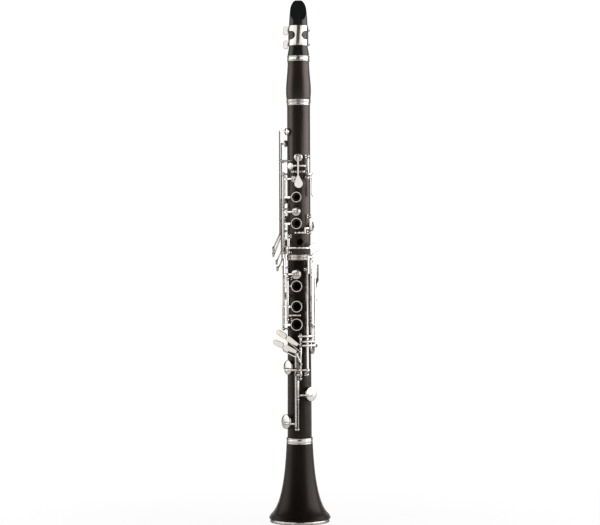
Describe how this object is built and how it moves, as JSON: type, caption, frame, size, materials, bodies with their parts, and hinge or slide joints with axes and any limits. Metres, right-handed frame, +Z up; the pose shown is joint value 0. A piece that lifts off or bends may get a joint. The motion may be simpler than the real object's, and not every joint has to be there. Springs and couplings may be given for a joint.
{
  "type": "soprano clarinet",
  "caption": "Straight soprano clarinet with beaked mouthpiece, ligature, barrel, two jointed wooden bodies, flared bell and sprung lever keywork.",
  "frame": {"origin": "centre of the bell rim, on the bore axis, where the instrument stands", "axes": "+Z up the bore to the mouthpiece tip, -Y out of the finger holes, +X to the right seen from the front"},
  "size_m": [0.0786, 0.0786, 0.668],
  "materials": {
    "mouthpiece": "polished hard rubber",
    "cane": "raw cane",
    "barrel_wood": "oiled dark hardwood, satin",
    "upper_wood": "oiled dark hardwood, satin",
    "lower_wood": "oiled dark hardwood, satin",
    "bell_wood": "oiled dark hardwood, satin",
    "cork": "sanded cork",
    "steel": "ground steel",
    "ligature_silver": "polished nickel plate",
    "ring_silver": "polished silver plate",
    "post_silver": "polished silver plate",
    "key_silver": "polished silver plate",
    "pad_skin": "fish skin over felt"
  },
  "bodies": {
    "instrument": {"mouthpiece": "mouthpiece", "reed": "cane", "ligature": "ligature_silver", "barrel": "barrel_wood", "barrel_rings": "ring_silver", "upper_joint": "upper_wood", "upper_joint_ring": "ring_silver", "lower_joint": "lower_wood", "lower_joint_ring": "ring_silver", "bell": "bell_wood", "bell_socket_ring": "ring_silver", "bell_rim_ring": "ring_silver", "tenon_corks": "cork", "vent_tubes": "post_silver", "thumb_rest": "post_silver", "thumb_rest_screws": "steel", "upper_posts": "post_silver", "lower_posts": "post_silver", "hinge_rods": "steel"},
    "register_key": {"register_key": "key_silver", "register_pad": "pad_skin"},
    "a_key": {"a_key": "key_silver", "a_pad": "pad_skin"},
    "g_sharp_key": {"g_sharp_key": "key_silver", "g_sharp_pad": "pad_skin"},
    "first_ring_key": {"first_ring_key": "key_silver", "first_ring_pad": "pad_skin"},
    "second_ring_key": {"second_ring_key": "key_silver", "second_ring_pad": "pad_skin"},
    "thumb_ring_key": {"thumb_ring_key": "key_silver"},
    "side_key_1": {"side_key_1": "key_silver", "side_pad_1": "pad_skin"},
    "side_key_2": {"side_key_2": "key_silver", "side_pad_2": "pad_skin"},
    "side_key_3": {"side_key_3": "key_silver", "side_pad_3": "pad_skin"},
    "side_key_4": {"side_key_4": "key_silver", "side_pad_4": "pad_skin"},
    "sliver_key": {"sliver_key": "key_silver", "sliver_pad": "pad_skin"},
    "c_sharp_key": {"c_sharp_key": "key_silver", "c_sharp_pad": "pad_skin"},
    "right_ring_key": {"right_ring_key": "key_silver", "right_ring_pad": "pad_skin"},
    "banana_key": {"banana_key": "key_silver", "banana_pad": "pad_skin"},
    "low_e_key": {"low_e_key": "key_silver", "low_e_pad": "pad_skin"},
    "low_f_key": {"low_f_key": "key_silver", "low_f_pad": "pad_skin"},
    "low_f_touch": {"low_f_touch": "key_silver"},
    "f_sharp_key": {"f_sharp_key": "key_silver", "f_sharp_pad": "pad_skin"},
    "f_sharp_touch": {"f_sharp_touch": "key_silver"},
    "a_flat_key": {"a_flat_key": "key_silver", "a_flat_pad": "pad_skin"},
    "left_e_lever": {"left_e_lever": "key_silver"},
    "left_f_lever": {"left_f_lever": "key_silver"},
    "ligature_screw_upper": {"ligature_screw_upper": "ligature_silver"},
    "ligature_screw_lower": {"ligature_screw_lower": "ligature_silver"}
  },
  "joints": [
    {"name": "register_hinge", "type": "hinge", "parent": "instrument", "child": "register_key", "pos_m": [0, 0.0204, 0.468], "axis": [-1, 0, 0], "range_deg": [0, 3.6], "stiffness_Nm_per_rad": 0.1, "springref_deg": -11.46},
    {"name": "a_hinge", "type": "hinge", "parent": "instrument", "child": "a_key", "pos_m": [-0.00071, -0.02039, 0.447], "axis": [0.9994, -0.0349, 0], "range_deg": [0, 8], "stiffness_Nm_per_rad": 0.1, "springref_deg": -11.46},
    {"name": "g_sharp_hinge", "type": "hinge", "parent": "instrument", "child": "g_sharp_key", "pos_m": [0.01164, -0.01602, 0.4531], "axis": [0, 0, 1], "range_deg": [0, 8], "stiffness_Nm_per_rad": 0.1, "springref_deg": -11.46},
    {"name": "first_ring_hinge", "type": "hinge", "parent": "instrument", "child": "first_ring_key", "pos_m": [-0.01955, -0.00711, 0.3945], "axis": [0, 0, 1], "range_deg": [0, 4.3], "stiffness_Nm_per_rad": 0.1, "springref_deg": -11.46},
    {"name": "second_ring_hinge", "type": "hinge", "parent": "instrument", "child": "second_ring_key", "pos_m": [-0.01955, -0.00711, 0.3945], "axis": [0, 0, 1], "range_deg": [0, 4.3], "stiffness_Nm_per_rad": 0.1, "springref_deg": -11.46},
    {"name": "thumb_ring_hinge", "type": "hinge", "parent": "instrument", "child": "thumb_ring_key", "pos_m": [0.01118, 0.01658, 0.4038], "axis": [0, 0, 1], "range_deg": [0, 6.2], "stiffness_Nm_per_rad": 0.1, "springref_deg": -11.46},
    {"name": "side_1_hinge", "type": "hinge", "parent": "instrument", "child": "side_key_1", "pos_m": [-0.01748, 0.00277, 0.3718], "axis": [-0.1564, -0.9877, 0], "range_deg": [0, 3.6], "stiffness_Nm_per_rad": 0.1, "springref_deg": -11.46},
    {"name": "side_2_hinge", "type": "hinge", "parent": "instrument", "child": "side_key_2", "pos_m": [-0.01748, 0.00277, 0.3718], "axis": [-0.1564, -0.9877, 0], "range_deg": [0, 3.2], "stiffness_Nm_per_rad": 0.1, "springref_deg": -11.46},
    {"name": "side_3_hinge", "type": "hinge", "parent": "instrument", "child": "side_key_3", "pos_m": [-0.02173, 0.00344, 0.4615], "axis": [-0.1564, -0.9877, 0], "range_deg": [0, 2.1], "stiffness_Nm_per_rad": 0.1, "springref_deg": -11.46},
    {"name": "side_4_hinge", "type": "hinge", "parent": "instrument", "child": "side_key_4", "pos_m": [-0.02173, 0.00344, 0.4615], "axis": [-0.1564, -0.9877, 0], "range_deg": [0, 2.1], "stiffness_Nm_per_rad": 0.1, "springref_deg": -11.46},
    {"name": "sliver_hinge", "type": "hinge", "parent": "instrument", "child": "sliver_key", "pos_m": [0.01441, -0.01358, 0.3802], "axis": [0, 0, 1], "range_deg": [-7, 0], "stiffness_Nm_per_rad": 0.1, "springref_deg": 11.46},
    {"name": "c_sharp_hinge", "type": "hinge", "parent": "instrument", "child": "c_sharp_key", "pos_m": [-0.01325, -0.01471, 0.35485], "axis": [0, 0, 1], "range_deg": [0, 3.4], "stiffness_Nm_per_rad": 0.1, "springref_deg": -11.46},
    {"name": "right_ring_hinge", "type": "hinge", "parent": "instrument", "child": "right_ring_key", "pos_m": [-0.02013, -0.00681, 0.2861], "axis": [0, 0, 1], "range_deg": [0, 4.3], "stiffness_Nm_per_rad": 0.1, "springref_deg": -11.46},
    {"name": "banana_hinge", "type": "hinge", "parent": "instrument", "child": "banana_key", "pos_m": [-0.01466, -0.01747, 0.285], "axis": [0, 0, 1], "range_deg": [0, 4], "stiffness_Nm_per_rad": 0.1, "springref_deg": -11.46},
    {"name": "low_e_hinge", "type": "hinge", "parent": "instrument", "child": "low_e_key", "pos_m": [-0.00463, -0.02007, 0.16755], "axis": [0, 0, 1], "range_deg": [-6.6, 0], "stiffness_Nm_per_rad": 0.1, "springref_deg": 11.46},
    {"name": "low_f_hinge", "type": "hinge", "parent": "instrument", "child": "low_f_key", "pos_m": [-0.00165, -0.02053, 0.16755], "axis": [0, 0, 1], "range_deg": [0, 6.6], "stiffness_Nm_per_rad": 0.1, "springref_deg": -11.46},
    {"name": "low_f_touch_hinge", "type": "hinge", "parent": "instrument", "child": "low_f_touch", "pos_m": [0.00158, -0.02054, 0.21155], "axis": [0, 0, 1], "range_deg": [-6.6, 0], "stiffness_Nm_per_rad": 0.1, "springref_deg": 11.46},
    {"name": "f_sharp_hinge", "type": "hinge", "parent": "instrument", "child": "f_sharp_key", "pos_m": [0.00999, -0.01802, 0.256], "axis": [0, 0, 1], "range_deg": [0, 5], "stiffness_Nm_per_rad": 0.1, "springref_deg": -11.46},
    {"name": "f_sharp_touch_hinge", "type": "hinge", "parent": "instrument", "child": "f_sharp_touch", "pos_m": [0.00158, -0.02054, 0.21155], "axis": [0, 0, 1], "range_deg": [-5, 0], "stiffness_Nm_per_rad": 0.1, "springref_deg": 11.46},
    {"name": "a_flat_hinge", "type": "hinge", "parent": "instrument", "child": "a_flat_key", "pos_m": [0.00158, -0.02054, 0.21155], "axis": [0, 0, 1], "range_deg": [-5, 0], "stiffness_Nm_per_rad": 0.1, "springref_deg": 11.46},
    {"name": "left_e_lever_hinge", "type": "hinge", "parent": "instrument", "child": "left_e_lever", "pos_m": [0.01536, -0.01432, 0.2594], "axis": [0, 0, 1], "range_deg": [0, 5], "stiffness_Nm_per_rad": 0.1, "springref_deg": -11.46},
    {"name": "left_f_lever_hinge", "type": "hinge", "parent": "instrument", "child": "left_f_lever", "pos_m": [0.01536, -0.01432, 0.2594], "axis": [0, 0, 1], "range_deg": [0, 5], "stiffness_Nm_per_rad": 0.1, "springref_deg": -11.46},
    {"name": "ligature_screw_upper_turn", "type": "hinge", "parent": "instrument", "child": "ligature_screw_upper", "pos_m": [0, 0.0152, 0.63], "axis": [1, 0, 0], "continuous": true},
    {"name": "ligature_screw_lower_turn", "type": "hinge", "parent": "instrument", "child": "ligature_screw_lower", "pos_m": [0, 0.0152, 0.612], "axis": [1, 0, 0], "continuous": true}
  ],
  "couplings": [
    {"joint": "second_ring_hinge", "follows": "right_ring_hinge", "ratio": 1},
    {"joint": "first_ring_hinge", "follows": "thumb_ring_hinge", "ratio": 0.69},
    {"joint": "low_f_hinge", "follows": "low_f_touch_hinge", "ratio": -1},
    {"joint": "left_f_lever_hinge", "follows": "low_f_touch_hinge", "ratio": -0.7},
    {"joint": "left_e_lever_hinge", "follows": "low_e_hinge", "ratio": -0.7},
    {"joint": "f_sharp_hinge", "follows": "f_sharp_touch_hinge", "ratio": -1}
  ]
}
